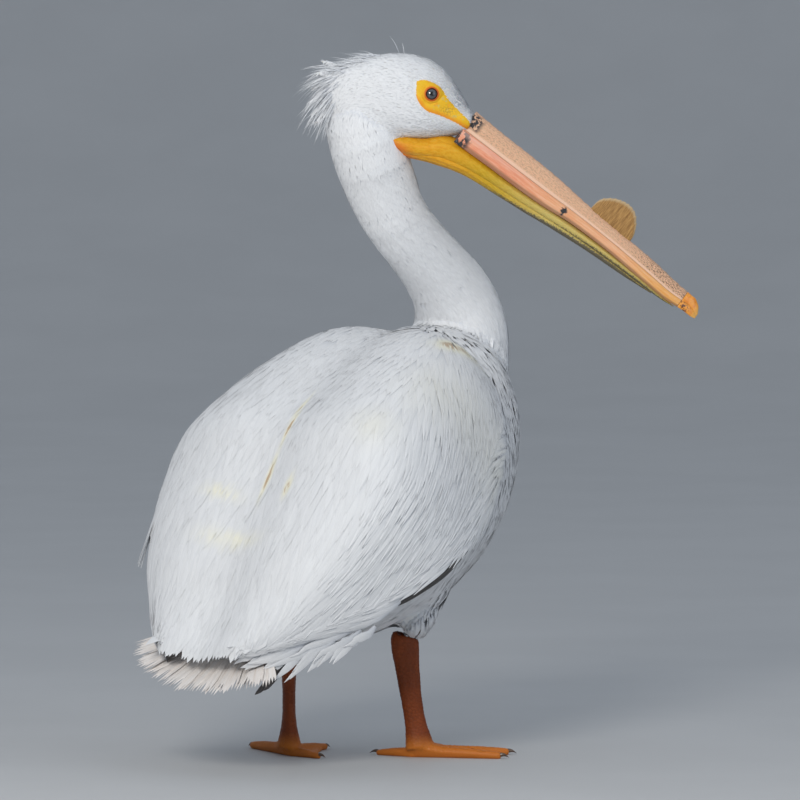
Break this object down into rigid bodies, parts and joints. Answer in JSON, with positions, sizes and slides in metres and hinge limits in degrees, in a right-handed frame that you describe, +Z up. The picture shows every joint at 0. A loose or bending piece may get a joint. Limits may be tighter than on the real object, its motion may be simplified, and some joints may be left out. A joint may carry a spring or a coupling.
{
  "type": "standing american white pelican model",
  "caption": "Life-size white pelican standing with folded wings, its head turned to the side, its long bill carrying a breeding horn, on two webbed feet.",
  "frame": {"origin": "middle of the bird's plan box, on the floor", "axes": "+X the way the body faces, +Y towards the bird's left, +Z up"},
  "size_m": [0.5766, 0.4776, 0.8155],
  "materials": {
    "plumage": "soft white contour feathers",
    "flight_feathers": "black flight feathers",
    "tail_feathers": "worn white tail feathers",
    "upper_bill": "horny sheath, salmon to orange",
    "bill_nail": "horny sheath, orange",
    "bill_horn": "fibrous breeding horn",
    "lower_bill": "horny sheath, yellow-orange to olive",
    "pouch": "bare folded pouch skin",
    "face_skin": "bare yellow-orange facial skin",
    "eye": "wet dark eye",
    "leg_skin": "scaled orange leg and web skin",
    "claw_horn": "dark claws"
  },
  "bodies": {
    "root": {"trunk": "plumage", "mantle": "plumage", "wing_coverts_left": "plumage", "wing_tertials_left": "plumage", "flight_feathers_left": "flight_feathers", "wing_coverts_right": "plumage", "wing_tertials_right": "plumage", "flight_feathers_right": "flight_feathers", "tail": "tail_feathers", "neck_lower": "plumage", "neck_middle": "plumage", "neck_upper": "plumage", "head": "plumage", "face_left": "face_skin", "eye_left": "eye", "face_right": "face_skin", "eye_right": "eye", "upper_bill": "upper_bill", "bill_nail": "bill_nail", "bill_horn": "bill_horn", "lower_bill": "lower_bill", "pouch": "pouch", "thigh_left": "plumage", "leg_left": "leg_skin", "foot_left": "leg_skin", "claw_left_1": "claw_horn", "claw_left_2": "claw_horn", "claw_left_3": "claw_horn", "claw_left_4": "claw_horn", "thigh_right": "plumage", "leg_right": "leg_skin", "foot_right": "leg_skin", "claw_right_1": "claw_horn", "claw_right_2": "claw_horn", "claw_right_3": "claw_horn", "claw_right_4": "claw_horn"}
  },
  "joints": []
}
